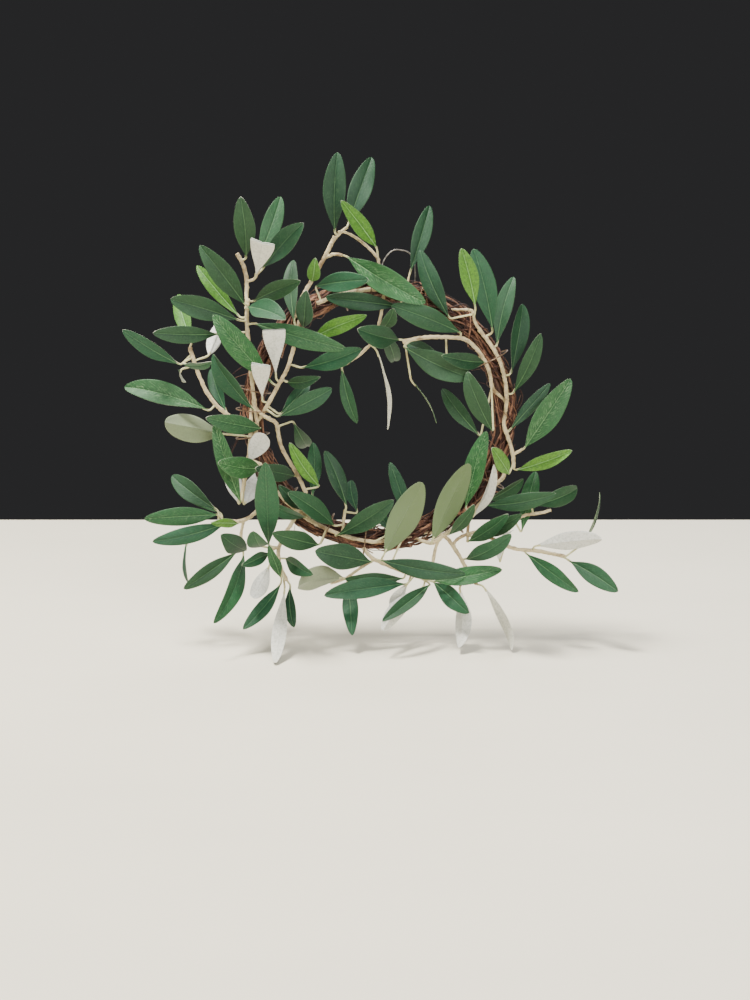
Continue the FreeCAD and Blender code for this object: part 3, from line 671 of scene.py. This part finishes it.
GREEN = leaf_green()
PALE = leaf_pale()
STALK = moulded("stalk_plastic", (0.52, 0.50, 0.27), (0.36, 0.30, 0.14), (0.25, 0.15, 0.07))
STEM = moulded("stem_plastic", (0.52, 0.43, 0.25), (0.20, 0.13, 0.06), (0.12, 0.07, 0.03))
BARK = bark("vine_bark", (0.014, 0.005, 0.004), (0.055, 0.018, 0.011), (0.32, 0.16, 0.09))
# Painted shade: the vines inside the bundle wear the same bark made much darker, for the shade among
# the outer vines.
INNER_SHADED_BARK = bark("vine_inner", (0.009, 0.004, 0.003), (0.032, 0.012, 0.008), (0.10, 0.05, 0.03))
TIE = wire("tie_wire", (0.10, 0.055, 0.03), (0.25, 0.17, 0.1), 0.4)
LOOP = wire("loop_wire", (0.12, 0.11, 0.10), (0.3, 0.28, 0.25), 0.8)
CORE = wire("core_wire", (0.35, 0.34, 0.33), (0.5, 0.5, 0.5), 1.0)


# --- leaves -------------------------------------------------------------------------------------
def build_leaves():
    for name, node in sorted(frame["nodes"].items()):
        if not name.startswith("leaves_"):
            continue
        rng = random.Random(name)
        sheet = Sheet()
        for solid in islands(node):
            blade = Blade(solid)
            tint = leaf(sheet, blade, rng)
            rib(sheet, blade, tint)
        cloth = sheet.build("cloth_" + name, [GREEN, PALE])
        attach(cloth, body_of(name))
        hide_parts(name)


# --- stems --------------------------------------------------------------------------------------
def knobbly(source, name, material, voxel, size, strength):
    """A moulded copy of a plain CAD stem, with rounded ends, knobs and uneven thickness."""
    obj = bpy.data.objects.new(name, source.data.copy())
    bpy.context.scene.collection.objects.link(obj)
    remesh = obj.modifiers.new("remesh", "REMESH")
    remesh.mode = "VOXEL"
    remesh.voxel_size = voxel
    texture = bpy.data.textures.new(name, "CLOUDS")
    texture.noise_scale = size
    texture.noise_depth = 2
    displace = obj.modifiers.new("knobs", "DISPLACE")
    displace.texture = texture
    displace.texture_coords = "LOCAL"
    displace.strength = strength
    displace.mid_level = KNOB_LEVEL
    graph = bpy.context.evaluated_depsgraph_get()
    mesh = bpy.data.meshes.new_from_object(obj.evaluated_get(graph))
    obj.modifiers.clear()
    obj.data = mesh
    mesh.materials.clear()
    mesh.materials.append(material)
    mesh.polygons.foreach_set("use_smooth", [True] * len(mesh.polygons))
    return obj


def build_stems():
    for name, node in sorted(frame["nodes"].items()):
        if name.startswith("stem_"):
            obj = knobbly(node, "moulded_" + name, STEM, *STEM_KNOBS)
        elif name.startswith("stalks_"):
            obj = knobbly(node, "moulded_" + name, STALK, *STALK_KNOBS)
        else:
            continue
        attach(obj, body_of(name))
        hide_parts(name)


# --- the vine ring ------------------------------------------------------------------------------
def ring_point(angle, lay, twist):
    """A point on a vine: an angle round the ring, and its place in the bundle's cross-section."""
    reach = RING_RADIUS + lay * math.cos(twist)
    return np.array((math.cos(angle) * reach, -lay * math.sin(twist), math.sin(angle) * reach))


def swing(rng, rates, sizes):
    """A random sine: its rate, phase and size."""
    return rng.uniform(*rates), rng.uniform(*PHASES), rng.uniform(*sizes)


def vine(sheet, rng, lay, radius, spread, turns, tail=0.0, sweep=(150.0, 350.0)):
    """One length of vine, wound along the ring with wandering lay, twist and thickness."""
    start = rng.uniform(0.0, 2 * math.pi)
    sweep = math.radians(rng.uniform(*sweep))
    steps = max(8, int(sweep * RING_RADIUS / VINE_STEP))
    twist = rng.uniform(0.0, 2 * math.pi)
    waves = [swing(rng, (2.0, 9.0), (0.1, 0.4)) for _ in range(3)]
    kinks = [swing(rng, (9.0, 26.0), (0.1 * MM, 0.45 * MM)) for _ in range(2)]
    points = []
    radii = []
    for step in range(steps + 1):
        share = step / steps
        angle = start + sweep * share
        drift = sum(size * math.sin(rate * sweep * share + phase) for rate, phase, size in waves)
        depth = lay + spread * math.sin(5.0 * angle + twist) * 0.5
        depth += sum(size * math.sin(rate * angle + phase) for rate, phase, size in kinks)
        end = max(0.0, 1.0 - (1.0 - share) * sweep * RING_RADIUS / TAIL_LENGTH)
        depth += tail * end * end
        drift += tail * TAIL_TWIST * end * end
        points.append(ring_point(angle, depth, twist + turns * sweep * share + drift))
        knot = KNOT_SIZE * math.exp(-((step % KNOT_PITCH) - KNOT_PITCH // 2) ** 2 / 1.5)
        uneven = 1.0 + 0.12 * math.sin(angle * 23 + twist) + knot
        radii.append(radius * uneven * (1.0 - VINE_TAPER * share))
    tube(sheet, points, radii, 8, (rng.random(), rng.random(), 0.0))


def build_ring():
    rng = random.Random(84)
    inner = Sheet()
    for lay, radius, count in INNER_LAYERS:
        for _ in range(count):
            vine(inner, rng, lay * MM, radius * MM, INNER_SPREAD, rng.uniform(*INNER_TURNS))
    # The inner vines take the darkened bark, which is painted shade.
    core = inner.build("inner_vines", [INNER_SHADED_BARK])
    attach(core, "ring")
    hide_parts("vine_hoop")
    outer = Sheet()
    for index in range(OUTER_VINES):
        radius = rng.uniform(*OUTER_RADII) * MM
        lay = OUTER_LAY - radius + rng.uniform(-1.1, 0.5) * MM
        turns = rng.choice(OUTER_TURNS)
        tail = rng.uniform(*OUTER_TAILS) * MM if index % 2 == 0 else 0.0
        vine(outer, rng, lay, radius, OUTER_SPREAD, turns, tail)
    for _ in range(FINE_VINES):
        radius = rng.uniform(*FINE_RADII) * MM
        lay = FINE_LAY + rng.uniform(-0.8, 0.9) * MM
        turns = rng.choice(FINE_TURNS)
        vine(outer, rng, lay, radius, FINE_SPREAD, turns, rng.uniform(*FINE_TAILS) * MM, FINE_SWEEP)
    for _ in range(WRAPS):
        turns = rng.choice(WRAP_TURNS)
        vine(outer, rng, WRAP_LAY, WRAP_RADIUS, WRAP_SPREAD, turns, 0.0, WRAP_SWEEP)
    skin = outer.build("outer_vines", [BARK])
    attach(skin, "ring")
    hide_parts("vine_strands")


def stem_ends(points):
    """Both ends of a stem, each with the way into the stem and the stem's radius there."""
    middle = points.mean(axis=0)
    first = points[np.linalg.norm(points - middle, axis=1).argmax()]
    last = points[np.linalg.norm(points - first, axis=1).argmax()]
    found = []
    for corner in (first, last):
        rim = points[np.linalg.norm(points - corner, axis=1) < RIM_SIZE]
        gaps = np.linalg.norm(points - rim.mean(axis=0), axis=1)
        beyond = points[gaps > RIM_CLEAR]
        nearest = beyond[np.linalg.norm(beyond - corner, axis=1).argsort()[:RIM_POINTS]]
        inward = nearest.mean(axis=0) - rim.mean(axis=0)
        inward /= np.linalg.norm(inward)
        depth = (rim - corner) @ inward
        cap = rim[depth < CAP_DEPTH]
        end = cap.mean(axis=0)
        found.append((end, inward, np.linalg.norm(cap - end, axis=1).max()))
    return found


def ring_distance(point):
    return math.hypot(math.hypot(point[0], point[2]) - RING_RADIUS, point[1])


def build_roots():
    """Roots that carry the stems on into the vines or a parent stem, bending at each hinge."""
    rng = random.Random(11)
    joints = frame["record"]["behaviour"]["joints"]
    hinged = {joint["child"]: np.array(joint["pos_m"]) for joint in joints}
    stems = {name: stem_ends(max(islands(node), key=len))
             for name, node in sorted(frame["nodes"].items()) if name.startswith("stem_")}
    feet = []
    for name, ends in stems.items():
        body = body_of(name)
        if body in hinged:
            feet.append((name, body, min(ends, key=lambda end: np.linalg.norm(end[0] - hinged[body]))))
        else:
            near = max(ROOT_REACH, min(ring_distance(end[0]) for end in ends))
            feet += [(name, body, end) for end in ends if ring_distance(end[0]) <= near]
    for index, (name, body, (foot, ahead, radius)) in enumerate(feet):
        if ring_distance(foot) > FREE_REACH:
            others = [end for other, pair in stems.items() if other != name for end in pair]
            end, inward, _ = min(others, key=lambda item: np.linalg.norm(item[0] - foot))
            home = end + inward * FORK_DEPTH
            leave = end
        else:
            outward = np.array((foot[0], 0.0, foot[2]))
            outward /= np.linalg.norm(outward)
            tangent = np.array((-outward[2], 0.0, outward[0]))
            if tangent @ ahead > 0:
                tangent = -tangent
            forwards = np.array((0.0, -VINE_RADIUS, 0.0))
            home = outward * RING_RADIUS + tangent * ROOT_RUN + forwards * 0.5
            leave = home - tangent * ROOT_TURN + forwards * 0.25
        ends = (foot + ahead * ROOT_OVERLAP, foot - ahead * BEND_BEHIND, leave, home)
        path = []
        radii = []
        for step in range(ROOT_STEPS + 1):
            t = step / ROOT_STEPS
            weights = ((1 - t) ** 3, 3 * t * (1 - t) ** 2, 3 * t * t * (1 - t), t ** 3)
            path.append(sum(w * e for w, e in zip(weights, ends)))
            uneven = 1.0 + 0.08 * math.sin(step * 1.7) + rng.uniform(-0.03, 0.03)
            radii.append(radius * (1.06 - 0.3 * t) * uneven)
        sheet = Sheet()
        tube(sheet, path, radii, 14, (rng.random(), 0.0, 0.0))
        root = sheet.build(name.replace("stem_", f"root_{index}_"), [STEM])
        if body in hinged:
            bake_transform(root)
        else:
            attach(root, body)


def finish_cad():
    """Materials for the CAD nodes that stay as they are."""
    looks = {"vine_tendrils": BARK, "wire_ties": TIE, "hanging_loop": LOOP}
    for name, node in frame["nodes"].items():
        material = looks.get(name)
        if material is None and name.startswith("wire_"):
            material = CORE
        if material is None:
            continue
        node.data.materials.clear()
        node.data.materials.append(material)


# --- stage --------------------------------------------------------------------------------------
FLOOR_SIZE = (6.0, 2.66, 1.0)
FLOOR_MIDDLE = (0.0, -0.9)
FLOOR_GAP = 0.5 * MM             # below the crown's lowest leaf
AIM = Vector((-0.002, 0.0, -0.0575))
CAMERA_DISTANCE = 1.045          # from the aim
CAMERA_HEIGHT = math.radians(10.0)
CAMERA_LENS = 37.15              # in mm
SENSOR_HEIGHT = 24.0             # in mm


def plain(name, colour, rough):
    make = Nodes(name)
    speck = make.noise(14.0, 5.0)
    darker = tuple(c * 0.93 for c in colour)
    make.colour(make.ramp(speck, [(0.3, darker), (0.7, colour)]))
    make.set(Roughness=rough)
    return make.material


def build_stage():
    level = CAD_BOX[0][2] - FLOOR_GAP
    bpy.ops.mesh.primitive_plane_add(size=1.0, location=(*FLOOR_MIDDLE, level))
    floor = bpy.context.object
    floor.name = "floor"
    floor.scale = FLOOR_SIZE
    floor.data.materials.append(plain("floor", (0.78, 0.72, 0.57), 0.6))


def light(name, place, size, power, colour):
    data = bpy.data.lights.new(name, "AREA")
    data.shape = "RECTANGLE"
    data.size, data.size_y = size
    data.energy = power
    data.color = colour
    obj = bpy.data.objects.new(name, data)
    bpy.context.scene.collection.objects.link(obj)
    obj.location = place
    obj.rotation_euler = (-Vector(place)).to_track_quat("-Z", "Y").to_euler()


def build_lights():
    light("overhead", (-0.45, -0.1, 1.3), (0.35, 0.3), 66.0, (1.0, 0.98, 0.94))
    light("front", (0.4, -1.6, 0.6), (1.0, 0.8), 37.0, (1.0, 0.99, 0.97))
    light("back", (0.6, 1.2, 0.7), (1.0, 0.8), 14.0, (0.95, 0.98, 1.0))
    light("side", (-1.4, 0.3, 0.4), (0.8, 0.8), 8.0, (1.0, 1.0, 1.0))
    world = bpy.data.worlds.new("studio")
    world.use_nodes = True
    world.node_tree.nodes["Background"].inputs[0].default_value = (0.5, 0.5, 0.52, 1.0)
    world.node_tree.nodes["Background"].inputs[1].default_value = 0.05
    bpy.context.scene.world = world


def build_camera():
    data = bpy.data.cameras.new("camera")
    data.sensor_fit = "VERTICAL"
    data.sensor_height = SENSOR_HEIGHT
    data.lens = CAMERA_LENS
    camera = bpy.data.objects.new("camera", data)
    bpy.context.scene.collection.objects.link(camera)
    back = Vector((0.0, -math.cos(CAMERA_HEIGHT), math.sin(CAMERA_HEIGHT)))
    camera.location = AIM + back * CAMERA_DISTANCE
    camera.rotation_euler = (-back).to_track_quat("-Z", "Y").to_euler()
    bpy.context.scene.camera = camera


build_leaves()
build_stems()
build_ring()
build_roots()
finish_cad()
build_stage()
build_lights()
build_camera()
